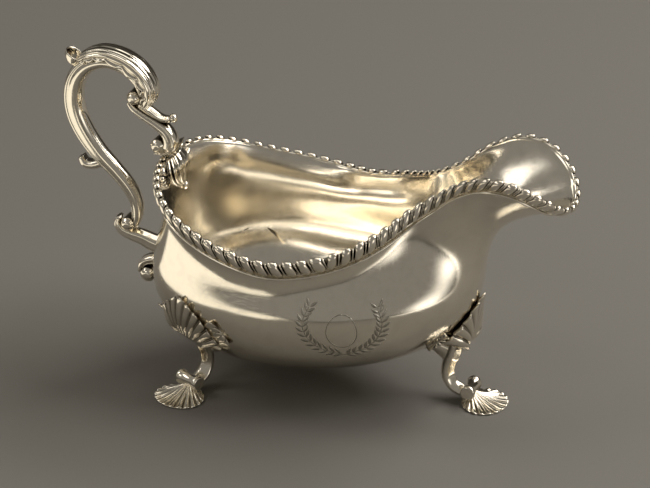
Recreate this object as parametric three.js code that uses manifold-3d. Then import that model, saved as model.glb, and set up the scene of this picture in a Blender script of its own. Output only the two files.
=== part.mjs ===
// A silver sauce boat on three legs, with a flying scroll handle and a gadrooned rim.
// Millimetres. X runs along the boat towards the spout, Y across it and Z up from the table.
import * as THREE from "three";
import { mergeVertices } from "three/addons/utils/BufferGeometryUtils.js";
import Module from "manifold-3d";

const wasm = await Module();
wasm.setup();

// Bowl: raised from one sheet
const sheetThickness = 1.1;
const solderGap = 0.3;
const bowlCentreX = -11;
const bellyReachBack = 50.5;
const bellyReachFront = 73.8;
const bellyHalfWidth = 44.5;
const bellyHeight = 44;
const breastLift = 8;
const bottomHeight = 11.3;
const bellyFullness = 2.25;
const bowlColumns = 70;
const bowlRowsBelow = 7;

// Rim and neck stations, from the back of the bowl to the lip: x, half width, height
const rimStations = [
  [-58.4, 0, 79.4],
  [-56.4, 12, 79.4],
  [-51.8, 23.6, 77.9],
  [-43.6, 32.8, 74.4],
  [-31.2, 39.1, 70.3],
  [-16.5, 43.2, 67.2],
  [-3, 43.2, 65.5],
  [9.5, 39, 66.5],
  [22.5, 34, 70.4],
  [31.8, 26.4, 75],
  [40.6, 17.3, 81.3],
  [49.8, 14.3, 87.6],
  [60, 16.6, 95],
  [70, 19.5, 98.6],
  [79.5, 19.6, 97.4],
  [87.9, 16.2, 92.5],
  [93.2, 9.4, 86.8],
  [94.9, 0, 84.6],
];
const neckStations = [
  [-56.2, 0, 67],
  [-54.4, 12, 66.8],
  [-49.6, 23, 65.6],
  [-41.5, 31.5, 62.6],
  [-29.5, 37.6, 59.2],
  [-15.5, 41, 56.6],
  [-2.5, 41, 55.2],
  [10.5, 37.6, 56],
  [23.5, 32.5, 59],
  [33, 26.5, 62.5],
  [41.5, 20, 66.5],
  [48.5, 15.8, 70],
  [54.5, 12.8, 72.6],
  [59.5, 10.3, 73.8],
  [63.5, 8, 73.8],
  [66.2, 5.6, 73.3],
  [67.8, 2.8, 72.8],
  [68.4, 0, 72.6],
];

// Gadrooned border and the plain wire under it
const lobesPerSide = 42;
const stepsPerLobe = 3;
const borderProjection = 2.7;
const borderDepth = 3.9;
const borderRise = 1.5;
const borderSeat = 0.45;
const lobeRelief = 0.45;
const lobeSlant = 0.9;
const lobeFootShare = 0.7;
const lobeTopShare = 0.55;
const lobeBellyPlace = 0.35;
const lobeInnerShare = 0.8;
const wireProjection = 1.2;
const wireDepth = 1.6;
const wireRound = 0.6;
const wireSteps = 50;

// Handle, cast and set on the middle line: stations of x, height, thickness and width across
const scrollStations = [
  [-71.4, 50.2, 3.4, 5.5],
  [-69.6, 55, 3.8, 5.8],
  [-69.7, 60.5, 4.8, 6.2],
  [-72.3, 66, 5.3, 6.2],
  [-77.4, 72, 5.6, 6.4],
  [-83.4, 78, 6.4, 6.8],
  [-88.6, 85, 7.2, 7.2],
  [-92.2, 92.5, 7.6, 7.6],
  [-93.5, 100, 8, 8],
  [-91.7, 107.6, 7.6, 8],
  [-87, 113.2, 6.8, 8],
  [-80, 115.6, 6, 7.8],
  [-73, 113.9, 5.4, 7.4],
  [-67.8, 109.4, 4.8, 7],
  [-66.6, 104.6, 3.8, 6.6],
  [-68, 101.6, 3, 6.4],
];
const upperEye = { x: -69, z: 103.4, radius: 2.2, width: 8.4 };
const lowerEye = { x: -74, z: 51.4, radius: 2.4, width: 7.2 };
const leafStations = [
  [-95.6, 118.2, 1, 5],
  [-94, 114.2, 1.8, 5.4],
  [-89.6, 116, 2.6, 7.6],
  [-81, 119.5, 3.8, 9.6],
  [-71.6, 117.4, 4.4, 10],
  [-64.8, 111.8, 4.6, 9.6],
  [-62.4, 105.4, 4, 8.4],
  [-64.6, 100.6, 2.6, 6.4],
  [-67.2, 98.8, 1.2, 4.4],
];
const leafVeins = 7;
const veinDepth = 0.08;
const spurStations = [
  [-83.4, 74.4, 3, 4.4],
  [-87.6, 72.6, 2.6, 4.6],
  [-90.8, 72.8, 2, 4.8],
  [-92.2, 75.4, 1, 4.6],
];
const neckStemStations = [
  [-70.2, 98.6, 1.8, 4.4],
  [-66.6, 96.6, 2.8, 5],
  [-61.6, 93.8, 3.4, 5.4],
  [-58.2, 90.8, 4.2, 5.6],
  [-57, 87.2, 4.6, 5.8],
  [-57.4, 84.2, 4.8, 6],
];
const neckLeafStations = [
  [-66.4, 100, 2, 4],
  [-62.6, 97.2, 2, 4],
  [-58.6, 95.8, 2.2, 4],
  [-55.4, 96, 3, 3.6],
];
const neckEye = { x: -60.4, z: 85.2, radius: 2.3, width: 6.4 };
const collarWidth = 16.4;
const collarRootShare = 0.55;
const collarTipRise = 1.5;
const collarSteps = 8;
const collarStations = [
  [-61.6, 83, 1.6],
  [-57.4, 83.2, 2.2],
  [-53.4, 84.4, 1.4],
];
const dropStations = [
  [-55.2, 81.6, 4.4, 13],
  [-53.4, 78.6, 5.4, 17],
  [-52.8, 75.2, 5.2, 16],
  [-52.4, 72, 3.8, 10],
  [-51.6, 70.2, 2.8, 4],
];
const dropReeds = 7;
const dropRelief = 0.07;
const armStations = [
  [-75.4, 47.6, 3, 5.6],
  [-72.4, 47.4, 4.6, 6.4],
  [-68, 46.4, 5.6, 6.8],
  [-64, 45, 6.4, 7.2],
  [-59, 43.6, 7, 7.6],
];
const terminalStations = [
  [-58.6, 38.6, 4, 6],
  [-62.8, 38, 3.4, 6],
  [-66.4, 36.2, 3, 6],
  [-67.6, 32.6, 2.8, 6],
];
const terminalEye = { x: -66.4, z: 31.6, radius: 2.4, width: 6.8 };
const handleSides = 10;
const eyeSides = 14;

// Legs: one under the spout and two behind, turned about their feet
const frontFootInset = 9.4;
const rearFootInset = 19.3;
const rearFootInsetAcross = 12.5;
const frontFootX = bellyReachFront - frontFootInset;
const rearFootX = bowlCentreX - bellyReachBack + rearFootInset;
const rearFootY = bellyHalfWidth - rearFootInsetAcross;
const rearLegTurn = 115;

// Shank, in its leg's own frame with X outward from the foot's middle
const shankStations = [
  [-10.9, 23.6, 4.4, 6.6],
  [-12.6, 18.2, 4.6, 6.4],
  [-14.1, 14, 4.5, 6.2],
  [-14.3, 9.6, 4.5, 6.2],
  [-12, 5.6, 4.2, 6.4],
  [-8, 3.8, 3.6, 6.6],
  [-4.2, 4.6, 3, 6.6],
];
const kneeRootX = -11.9;
const kneeRootHeight = 20.8;
const kneeRootRadius = 1.5;
const kneeHeight = 25;
const kneeSideLength = 13;
const kneeSpoutLength = 23;
const kneeBackLength = 12;
const kneeSpread = 56;
const kneeBackSpread = 37;
const kneeLean = 9;
const kneeTallLean = 11;
const kneeLobes = 9;
const kneeRelief = 2.2;
const kneeTipRelief = 0.8;
const kneeCurl = 0.014;
const kneeFlute = 0.9;
const kneeDepth = 13;
const kneeWaist = 0.4;
const rimRelief = 0.3;
const stepsPerRib = 3;
const ribNotch = 0.09;
const leafClearance = 1.1;
const leafRelief = 1.5;
const leafDepth = 4.5;
const leafFrom = 46;
const leafTo = 74;
const leafLobes = 3;
const leafStart = 0.55;
const leafReach = 19;
const leafSpoutReach = 30;
const wingLength = 12.5;
const wingWidth = 9;
const wingThickness = 1.5;
const wingSwell = 0.7;
const knuckleX = -4.3;
const knuckleHeight = 5.4;
const knuckleRadius = 2.7;
const knuckleWidth = 12;
const footFrontLength = 8.6;
const footBackLength = 8.6;
const footHalfWidth = 9.9;
const footRise = 3.8;
const footEdge = 0.9;
const footFlutes = 16;
const footFluteDepth = 0.35;
const footScallop = 0.06;
const footRings = [0.82, 0.62, 0.42];

// Silver, as it looks in the open
const silver = { color: 0xd9d4c8, metalness: 1, roughness: 0.18 };

const vec = (x, y, z) => new THREE.Vector3(x, y, z);
const degrees = THREE.MathUtils.degToRad;
const lerp = THREE.MathUtils.lerp;
const clamp = THREE.MathUtils.clamp;

// Reads a geometry as a solid body for joining and cutting.
function solid(geometry) {
  const bare = new THREE.BufferGeometry().copy(geometry);
  bare.deleteAttribute("normal");
  bare.deleteAttribute("uv");
  const merged = mergeVertices(bare, 1e-4);
  const body = new wasm.Manifold(
    new wasm.Mesh({
      numProp: 3,
      vertProperties: merged.attributes.position.array,
      triVerts: new Uint32Array(merged.index.array),
    }),
  );
  return body;
}

// Turns a solid body back into a geometry.
function geometryOf(body) {
  const mesh = body.getMesh();
  const geometry = new THREE.BufferGeometry();
  geometry.setAttribute("position", new THREE.BufferAttribute(mesh.vertProperties, 3));
  geometry.setIndex(new THREE.BufferAttribute(mesh.triVerts, 1));
  geometry.computeVertexNormals();
  return geometry;
}

// The middle of a ring of points.
function middle(ring) {
  return ring.reduce((sum, point) => sum.add(point), vec(0, 0, 0)).divideScalar(ring.length);
}

// Skins a closed body through closed rings of points, with a fan of triangles over each end.
function skin(rings) {
  const columns = rings[0].length;
  const last = (rings.length - 1) * columns;
  const start = rings.length * columns;
  const index = [];
  for (let i = 0; i < columns; i++) {
    const next = (i + 1) % columns;
    for (let row = 0; row < last; row += columns) {
      index.push(row + i, row + next, row + columns + i);
      index.push(row + next, row + columns + next, row + columns + i);
    }
    index.push(start, next, i, start + 1, last + i, last + next);
  }
  const points = [...rings.flat(), middle(rings[0]), middle(rings.at(-1))];
  const geometry = new THREE.BufferGeometry().setFromPoints(points);
  geometry.setIndex(index);
  if (solid(geometry).volume() < 0) geometry.setIndex(index.reverse());
  geometry.computeVertexNormals();
  return geometry;
}

// Mirrors half stations into a closed smooth loop; 0 is the back, 0.5 the lip.
function loopThrough(stations) {
  const near = stations.map(([x, y, z]) => vec(x, -y, z));
  const far = stations.slice(1, -1).reverse();
  return new THREE.CatmullRomCurve3([...near, ...far.map(([x, y, z]) => vec(x, y, z))], true, "centripetal");
}

const rimLoop = loopThrough(rimStations);
const neckLoop = loopThrough(neckStations);

// The upright line of the bowl's outer face at one place round the rim, rim first.
function wallLine(u) {
  const rim = rimLoop.getPoint(u);
  const neck = neckLoop.getPoint(u);
  const ahead = neck.x > bowlCentreX;
  const reach = ahead ? bellyReachFront : bellyReachBack;
  const angle = Math.atan2(neck.y / bellyHalfWidth, (neck.x - bowlCentreX) / reach);
  const forward = Math.max(0, Math.cos(angle));
  const widest = bellyHeight + breastLift * forward ** 2;
  const points = [rim, neck];
  for (let row = 0; row <= bowlRowsBelow; row++) {
    const down = (row / bowlRowsBelow) * (Math.PI / 2);
    const out = Math.max(Math.cos(down), 0) ** (2 / bellyFullness);
    const drop = Math.sin(down) ** (2 / bellyFullness);
    points.push(
      vec(
        bowlCentreX + reach * out * Math.cos(angle),
        bellyHalfWidth * out * Math.sin(angle),
        lerp(widest, bottomHeight, drop),
      ),
    );
  }
  return new THREE.CatmullRomCurve3(points, false, "centripetal");
}

// Depths down the wall at which the bowl has rows of points, 0 at the rim.
const wallRows = [0, 0.05, 0.11, 0.17, 0.24, 0.31, 0.39, 0.48, 0.58, 0.7, 0.83, 0.955];

// Rings of the bowl's outer face, moved out by an offset, rim first.
function bowlRings(offset) {
  const lines = Array.from({ length: bowlColumns }, (_, i) => wallLine(i / bowlColumns));
  const grid = wallRows.map((depth) => lines.map((line) => line.getPoint(depth)));
  const around = (row, i) => grid[row][(i + bowlColumns) % bowlColumns];
  return grid.map((ring, row) =>
    ring.map((point, i) => {
      const along = around(row, i + 1).clone().sub(around(row, i - 1));
      const above = grid[Math.max(row - 1, 0)][i];
      const below = grid[Math.min(row + 1, grid.length - 1)][i];
      const normal = along.cross(above.clone().sub(below)).normalize();
      return point.clone().addScaledVector(normal, offset);
    }),
  );
}

// The bowl as a filled body, grown by an offset, which cuts whatever is soldered to it.
function filledBowl(offset) {
  return solid(skin(bowlRings(offset)));
}

function bowl() {
  const outside = bowlRings(0);
  const inside = bowlRings(-sheetThickness);
  return skin([...outside.reverse(), ...inside]);
}

// A place on the bowl's wall: so far down from the rim, so far out from its face.
function onWall(u, down, out) {
  const line = wallLine(u);
  const reach = Math.max(down, 0) / line.getLength();
  const place = line.getPointAt(reach);
  const downward = line.getTangentAt(reach);
  const along = rimLoop.getTangent(u);
  const outward = along.cross(downward).normalize();
  return place.addScaledVector(downward, Math.min(down, 0)).addScaledVector(outward, -out);
}

// Skins a strip that follows half the rim, from a section of [down, out] pairs at each step.
function rimStrip(side, steps, section) {
  const rings = [];
  for (let step = 0; step <= steps; step++) {
    const share = step / steps;
    const half = rimLoop.getUtoTmapping(share / 2);
    const u = side < 0 ? half : 1 - half;
    const ring = section(share).map(([down, out]) => onWall(u, down, out));
    for (const point of ring) {
      if (point.y * side < solderGap / 2) point.y = (side * solderGap) / 2;
    }
    rings.push(ring);
  }
  return skin(rings);
}

// The gadroons: slanting lobes with a waved top edge that laps over the sheet.
function border(side) {
  return rimStrip(side, lobesPerSide * stepsPerLobe, (share) => {
    const lean = lobeSlant * clamp(1 - share, 0, 1);
    const swell = (down) => {
      const phase = share * lobesPerSide - (lean * down) / borderDepth;
      return 1 - lobeRelief * (1 - Math.abs(Math.cos(Math.PI * phase)));
    };
    const outer = (down, out) => [down, out * swell(down)];
    const rise = borderRise * swell(-borderRise);
    return [
      [borderDepth, borderSeat],
      outer(borderDepth, borderProjection * lobeFootShare),
      outer(borderDepth * lobeBellyPlace, borderProjection),
      outer(-rise, borderProjection * lobeTopShare),
      [-rise * lobeInnerShare, -sheetThickness],
      [-solderGap, -sheetThickness],
      [-solderGap, borderSeat],
    ];
  });
}

function rimWire(side) {
  const top = borderDepth + solderGap;
  return rimStrip(side, wireSteps, () => [
    [top + wireDepth, borderSeat],
    [top + wireDepth * wireRound, wireProjection],
    [top, wireProjection],
    [top, borderSeat],
  ]);
}

// Splits stations of x, height, thickness and width into a path and the sizes along it.
function pathAndSizes(stations) {
  const path = new THREE.CatmullRomCurve3(stations.map(([x, z]) => vec(x, 0, z)), false, "centripetal");
  const sizes = new THREE.CatmullRomCurve3(stations.map(([, , thick, wide]) => vec(thick, wide, 0)));
  return { path, sizes };
}

// Sweeps a rounded section along a path in the middle plane. Reeds wave the section's outline.
function sweep(stations, { steps = stations.length * 2, sides = handleSides, grow = 0, reeds = null } = {}) {
  const { path, sizes } = pathAndSizes(stations);
  const rings = [];
  for (let step = 0; step <= steps; step++) {
    const t = step / steps;
    const centre = path.getPoint(t);
    const tangent = path.getTangent(t);
    const outward = vec(-tangent.z, 0, tangent.x);
    const size = sizes.getPoint(t);
    rings.push(
      Array.from({ length: sides }, (_, i) => {
        const turn = ((i + 0.5) / sides) * 2 * Math.PI;
        const wave = reeds ? reeds(turn) : 1;
        return centre
          .clone()
          .addScaledVector(outward, Math.cos(turn) * (size.x / 2 + grow) * wave)
          .addScaledVector(vec(0, 1, 0), Math.sin(turn) * (size.y / 2 + grow) * wave);
      }),
    );
  }
  return solid(skin(rings));
}

// A scroll's eye: a short drum across the handle.
function eye({ x, z, radius, width }, grow = 0) {
  const drum = new THREE.CylinderGeometry(radius + grow, radius + grow, width + 2 * grow, eyeSides);
  return solid(drum.translate(x, 0, z));
}

function handleScroll(grow = 0) {
  return sweep(scrollStations, { grow, steps: 28 }).add(eye(upperEye, grow)).add(eye(lowerEye, grow));
}

function handleNeck(grow = 0) {
  const stem = sweep(neckStemStations, { grow });
  const leaf = sweep(neckLeafStations, { grow, steps: 6 });
  return stem.add(leaf).add(eye(neckEye, grow));
}

// A crest across the boat that clasps the rim under the handle.
function collar(grow = 0) {
  const { path, sizes } = pathAndSizes(collarStations.map(([x, z, thick]) => [x, z, thick, 0]));
  const rings = [];
  for (let step = 0; step <= collarSteps; step++) {
    const t = step / collarSteps;
    const centre = path.getPoint(t);
    const half = (collarWidth / 2) * lerp(collarRootShare, 1, t) + grow;
    const thick = sizes.getPoint(t).x / 2 + grow;
    rings.push([
      centre.clone().add(vec(0, -half, collarTipRise * t)),
      centre.clone().add(vec(0, -half * 0.5, -thick)),
      centre.clone().add(vec(0, half * 0.5, -thick)),
      centre.clone().add(vec(0, half, collarTipRise * t)),
      centre.clone().add(vec(0, half * 0.4, thick)),
      centre.clone().add(vec(0, -half * 0.4, thick)),
    ]);
  }
  return solid(skin(rings));
}

// The bowl's wall alone, grown on both faces, which cuts what sits inside or across the rim.
function grownWall() {
  const outside = bowlRings(solderGap);
  const inside = bowlRings(-sheetThickness - solderGap);
  return solid(skin([...outside.reverse(), ...inside]));
}

// The reeded drop that hangs from the crest inside the bowl.
function drop() {
  const reeds = (turn) => 1 + dropRelief * Math.cos(2 * dropReeds * turn);
  return sweep(dropStations, { sides: 4 * dropReeds, steps: 8, reeds });
}

// A geometry moved into a leg's own frame.
function inLegFrame(geometry, leg) {
  leg.updateMatrixWorld(true);
  return geometry.clone().applyMatrix4(leg.matrixWorld.clone().invert());
}

// Reads how far the bowl's wall reaches, in a leg's own frame, at a place across and up.
function wallReader(bowlFace) {
  const caster = new THREE.Raycaster();
  const wall = new THREE.Mesh(bowlFace);
  return (across, height) => {
    caster.set(vec(2 * bellyReachFront, across, height), vec(-1, 0, 0));
    const [hit] = caster.intersectObject(wall);
    return hit ? hit.point.x : kneeRootX - kneeDepth;
  };
}

// Skins a fan of lobes that spreads from a knee's root between two angles from the upright.
function fan({ from, to, lobes, start, rows, length, face, depth, waist, grow }) {
  const columns = stepsPerRib * lobes;
  const rings = [];
  for (let row = 0; row <= rows; row++) {
    const out = lerp(start, 1, row / rows);
    const front = [];
    const back = [];
    for (let i = 0; i <= columns; i++) {
      const valley = grow === 0 && i % stepsPerRib === 0 ? out : 0;
      const margin = (2 * i / columns - 1) * (grow / kneeHeight);
      const angle = degrees(lerp(from, to, i / columns)) + margin;
      const radius = kneeRootRadius * (1 - out) + length(angle) * (1 - ribNotch * valley) * out + grow;
      const across = radius * Math.sin(angle);
      const foot = (kneeRootRadius + 2 * grow) * (1 - out);
      const height = kneeRootHeight + radius * Math.cos(angle) - foot;
      const reach = face(across, height, out);
      front.push(vec(reach - kneeFlute * valley + grow, across, height));
      back.push(vec(reach - depth * lerp(waist, 1, out) - grow, across * (1 - waist), height));
    }
    rings.push([...front, ...back.reverse()]);
  }
  return solid(skin(rings));
}

// The shell on a leg's knee: it stands on its root, arches outward and leans on the bowl.
function kneeShell(wallReach, spoutSide, grow = 0) {
  const tipReach = wallReach(0, kneeRootHeight + kneeHeight * 0.9) + kneeTipRelief;
  const lean = spoutSide * kneeLean;
  return fan({
    from: lean - (spoutSide > 0 ? kneeBackSpread : kneeSpread),
    to: lean + (spoutSide < 0 ? kneeBackSpread : kneeSpread),
    lobes: kneeLobes,
    start: 0,
    rows: 5,
    depth: kneeDepth,
    waist: kneeWaist,
    grow,
    length: (angle) => {
      const side = Math.sign(angle) * spoutSide;
      const sideLength = side === 0 ? kneeSideLength : side > 0 ? kneeSpoutLength : kneeBackLength;
      const fromTallest = angle - degrees(kneeTallLean * spoutSide);
      return lerp(kneeHeight, sideLength, Math.abs(Math.sin(fromTallest)));
    },
    face: (across, height, out) => {
      const arch = 1 - (1 - out) ** 3;
      const free = lerp(kneeRootX, tipReach, arch) - kneeCurl * across ** 2;
      const resting = wallReach(across, height) + kneeRelief * (1 - rimRelief * out ** 3);
      return Math.max(lerp(free, resting, out ** 6), resting);
    },
  });
}

// The ruffled leaf that shows beside the shell, flat on the bowl.
function sideLeaf(wallReach, side, length) {
  return fan({
    from: side * leafFrom,
    to: side * leafTo,
    lobes: leafLobes,
    start: leafStart,
    rows: 2,
    depth: leafDepth,
    waist: 0,
    grow: 0,
    length: () => length,
    face: (across, height) => wallReach(across, height) + leafRelief,
  });
}

// The small leaf that runs from the knee inward under the bowl.
function kneeWing(bowlCut, bowlGrown) {
  const outline = new THREE.Shape();
  outline.moveTo(0, -wingWidth / 2);
  outline.quadraticCurveTo(-wingLength * wingSwell, -wingWidth / 2, -wingLength, 0);
  outline.quadraticCurveTo(-wingLength * wingSwell, wingWidth / 2, 0, wingWidth / 2);
  const prism = new THREE.ExtrudeGeometry(outline, { depth: bellyHeight, bevelEnabled: false, curveSegments: 6 });
  return solid(prism.translate(kneeRootX - kneeRootRadius, 0, 0)).intersect(bowlGrown).subtract(bowlCut);
}

function knuckle(grow = 0) {
  const ball = new THREE.SphereGeometry(1, 14, 8);
  ball.rotateX(Math.PI / 2);
  ball.scale(knuckleRadius + grow, knuckleWidth / 2 + grow, knuckleRadius + grow);
  return solid(ball.translate(knuckleX, 0, knuckleHeight));
}

// The foot: a scallop shell that slopes down all round from under the knuckle.
function foot() {
  const columns = 2 * footFlutes;
  const ring = (share, height, wave) =>
    Array.from({ length: columns }, (_, i) => {
      const turn = (i / columns) * 2 * Math.PI;
      const reach = share * (1 - wave * (i % 2));
      const footLength = Math.cos(turn) > 0 ? footFrontLength : footBackLength;
      const x = lerp(knuckleX, 0, share) + footLength * reach * Math.cos(turn);
      return vec(x, footHalfWidth * reach * Math.sin(turn), height - footFluteDepth * (i % 2) * share);
    });
  const climb = (share) => footEdge + footRise * (1 - share) ** 0.8;
  const slope = footRings.map((share) => ring(share, climb(share), footScallop * share ** 4));
  const under = ring(1, 0, footScallop).map((point) => vec(point.x, point.y, 0));
  return solid(skin([under, ring(1, footEdge, footScallop), ...slope]));
}

const sauceBoat = new THREE.Group();

// Adds one named piece of silver to the boat or to one of its legs.
function add(name, body, parent = sauceBoat) {
  const geometry = body.isBufferGeometry ? body : geometryOf(body);
  const mesh = new THREE.Mesh(geometry, new THREE.MeshStandardMaterial(silver));
  mesh.name = name;
  parent.add(mesh);
}

// One leg: shell knee, inner leaf, shank, knuckle and shell foot, soldered to the bowl.
function addLeg(place, x, y, angle, spoutSide) {
  const leg = new THREE.Group();
  leg.position.set(x, y, 0);
  leg.rotation.z = angle;
  sauceBoat.add(leg);
  const wallReach = wallReader(inLegFrame(skin(bowlRings(0)), leg));
  const cut = solid(inLegFrame(skin(bowlRings(solderGap)), leg));
  const grown = solid(inLegFrame(skin(bowlRings(solderGap + wingThickness)), leg));
  const shank = sweep(shankStations, { steps: 14, sides: 8 });
  const shankCut = sweep(shankStations, { steps: 14, sides: 8, grow: solderGap });
  const knee = kneeShell(wallReach, spoutSide);
  const kneeCut = kneeShell(wallReach, spoutSide, leafClearance);
  add(`${place}_leg_knee`, knee.subtract(cut).subtract(shankCut), leg);
  add(`${place}_leg_wing`, kneeWing(cut, grown).subtract(kneeCut).subtract(shankCut), leg);
  for (const side of [-1, 1]) {
    const reach = side === spoutSide ? leafSpoutReach : leafReach;
    const leaf = sideLeaf(wallReach, side, reach).subtract(cut).subtract(kneeCut).subtract(shankCut);
    add(`${place}_leg_leaf_${side < 0 ? "right" : "left"}`, leaf, leg);
  }
  add(`${place}_leg_shank`, shank.subtract(knuckle(solderGap)).subtract(cut), leg);
  add(`${place}_leg_knuckle`, knuckle(), leg);
  add(`${place}_leg_foot`, foot().subtract(knuckle(solderGap)).subtract(shankCut), leg);
}

add("bowl", bowl());
add("gadroon_border_right", border(-1));
add("gadroon_border_left", border(1));
add("rim_wire_right", rimWire(-1));
add("rim_wire_left", rimWire(1));

const bowlCut = filledBowl(solderGap);
const scrollCut = handleScroll(solderGap);
const veins = (turn) => 1 + veinDepth * Math.cos(leafVeins * turn);
const leafShape = { steps: 18, sides: 2 * leafVeins, reeds: veins };
const leafCut = sweep(leafStations, { ...leafShape, grow: solderGap });
add("handle_scroll", handleScroll());
add("handle_leaf", sweep(leafStations, leafShape).subtract(scrollCut));
add("handle_spur", sweep(spurStations).subtract(scrollCut));
add("handle_neck", handleNeck().subtract(scrollCut).subtract(leafCut));
add("handle_collar", collar().subtract(handleNeck(solderGap)));
add("handle_drop", drop().subtract(grownWall()).subtract(collar(solderGap)));
add("handle_arm", sweep(armStations).subtract(scrollCut).subtract(bowlCut));
add("handle_terminal", sweep(terminalStations).add(eye(terminalEye)).subtract(bowlCut));

addLeg("front", frontFootX, 0, 0, 0);
addLeg("rear_left", rearFootX, rearFootY, degrees(rearLegTurn), -1);
addLeg("rear_right", rearFootX, -rearFootY, degrees(-rearLegTurn), 1);

export default sauceBoat;
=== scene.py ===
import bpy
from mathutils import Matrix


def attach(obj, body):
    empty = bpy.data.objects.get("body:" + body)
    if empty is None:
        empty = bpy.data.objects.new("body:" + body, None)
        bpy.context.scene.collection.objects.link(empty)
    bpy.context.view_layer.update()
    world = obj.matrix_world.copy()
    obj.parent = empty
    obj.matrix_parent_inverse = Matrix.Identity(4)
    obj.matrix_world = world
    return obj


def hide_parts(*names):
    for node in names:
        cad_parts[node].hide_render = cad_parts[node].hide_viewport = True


bl_info = {
    "name": "Silver sauce boat",
    "version": (1, 0, 0),
    "blender": (4, 5, 0),
    "location": "View3D > Sidebar > Sauce boat",
    "description": "Dresses the packed sauce boat in finished silver and sets it in a plain studio",
    "category": "Object",
}

import math

import bmesh
import bpy
import numpy as np
from mathutils import Matrix, Vector
from mathutils.bvhtree import BVHTree

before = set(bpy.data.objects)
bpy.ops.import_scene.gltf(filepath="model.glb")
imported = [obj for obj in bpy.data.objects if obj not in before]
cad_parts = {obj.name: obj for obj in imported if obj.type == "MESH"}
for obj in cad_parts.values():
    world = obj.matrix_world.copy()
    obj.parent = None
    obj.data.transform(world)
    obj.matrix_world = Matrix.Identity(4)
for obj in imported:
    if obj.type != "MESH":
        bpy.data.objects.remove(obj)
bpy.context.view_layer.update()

MM = 0.001
BODY = "root"
RAISED = "raised_silver"
CAST = "cast_silver"
INNER = "inner"
ENGRAVED = "engraved"
ACROSS = Vector((0, 1, 0))

# Bowl: half stations of the rim and of the neck line under it, from the handle to the lip, in mm
RIM = [
    (-58.4, 0, 79.4), (-56.4, 12, 79.4), (-51.8, 23.6, 77.9), (-43.6, 32.8, 74.4), (-31.2, 39.1, 70.3),
    (-16.5, 43.2, 67.2), (-3, 43.2, 65.5), (9.5, 39, 66.5), (22.5, 34, 70.4), (31.8, 26.4, 75),
    (40.6, 17.3, 81.3), (49.8, 14.3, 87.6), (60, 16.6, 95), (70, 19.5, 98.6), (79.5, 19.6, 97.4),
    (87.9, 16.2, 92.5), (93.2, 9.4, 86.8), (94.9, 0, 84.6),
]
NECK = [
    (-56.2, 0, 67), (-54.4, 12, 66.8), (-49.6, 23, 65.6), (-41.5, 31.5, 62.6), (-29.5, 37.6, 59.2),
    (-15.5, 41, 56.6), (-2.5, 41, 55.2), (10.5, 37.6, 56), (23.5, 32.5, 59), (33, 26.5, 62.5),
    (41.5, 20, 66.5), (48.5, 15.8, 70), (54.5, 12.8, 72.6), (59.5, 10.3, 73.8), (63.5, 8, 73.8),
    (66.2, 5.6, 73.3), (67.8, 2.8, 72.8), (68.4, 0, 72.6),
]
BOWL_CENTRE_X = -11
BELLY_BACK = 50.5
BELLY_FRONT = 73.8
BELLY_HALF_WIDTH = 44.5
BELLY_HEIGHT = 44
BREAST_LIFT = 8
BOTTOM_HEIGHT = 11.3
BELLY_FULLNESS = 2.25
BELLY_ROWS = 7
BOWL_ROWS = [
    0, 0.03, 0.07, 0.12, 0.17, 0.22, 0.28, 0.34, 0.41, 0.48, 0.56, 0.64, 0.73, 0.82, 0.9, 0.955, 0.985,
]

# Handle: stations of x, height, thickness and width along each piece's middle, in mm
SCROLL = [
    (-71.4, 50.2, 3.4, 5.5), (-69.6, 55, 4.2, 5.8), (-69.7, 60.5, 5, 6.2), (-72.3, 66, 5.6, 6.2),
    (-77.4, 72, 5.9, 6.4), (-83.4, 78, 6.7, 6.8), (-88.6, 85, 7.5, 7.2), (-92.2, 92.5, 7.9, 7.6),
    (-93.3, 100, 7.7, 8), (-91.7, 107.6, 7.5, 8), (-87, 113.2, 6.8, 8), (-80, 115.6, 6, 7.8),
    (-73, 113.9, 5.4, 7.4), (-67.8, 109.4, 4.8, 7), (-66.6, 104.6, 3.8, 6.6), (-68, 101.6, 3, 6.4),
]
LEAF = [
    (-91.4, 114.6, 1.6, 5.6), (-89.6, 115.9, 2.6, 7.8), (-86, 118, 3.4, 9.2), (-80.4, 119.3, 4, 9.9),
    (-71.6, 117.2, 4.6, 10.2), (-65, 111.8, 4.9, 9.9), (-62.6, 105.4, 4.5, 8.8), (-64.6, 100.6, 3.2, 6.8),
    (-67.2, 98.8, 1.4, 4.6),
]
SPUR = [(-82.6, 74.8, 3.4, 4.8), (-86.6, 73.2, 3.6, 5.2), (-89.6, 73.5, 3.3, 5.4), (-91.2, 76.2, 2.2, 5.2)]
NECK_STEM = [
    (-71.6, 101, 2, 5.6), (-70, 98.8, 3, 6), (-66.2, 96.2, 3.8, 6.2), (-61.2, 93.4, 4.3, 6.2),
    (-57.4, 90.4, 5.4, 6.2), (-56.2, 87, 6.4, 6.2), (-56.7, 84, 6.8, 6.4),
]
NECK_LEAF = [(-67.6, 100.8, 3, 5.8), (-63.2, 97.6, 2.9, 5.4), (-59, 95.6, 2.4, 4.8), (-55.6, 95.8, 2.2, 4.2)]
COLLAR = [(-61.6, 83, 1.6), (-57.4, 83.2, 2.2), (-53.4, 84.4, 1.4)]
COLLAR_HALF_WIDTH = 8.2
DROP = [
    (-55.2, 82, 4.4, 12), (-53.6, 79.2, 5.6, 16.4), (-52.9, 75.6, 5.6, 16), (-52.4, 72.2, 4.4, 10.5),
    (-51.6, 70.2, 3, 4),
]
ARM = [
    (-76.6, 54, 1.8, 5), (-77.2, 51.2, 3, 5.8), (-75.4, 48.7, 4.2, 6.2), (-71.6, 47.3, 5, 6.6),
    (-67.6, 46.4, 5.6, 6.8), (-64, 45, 6.4, 7.2), (-60.9, 44.1, 7, 7.6),
]
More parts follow.
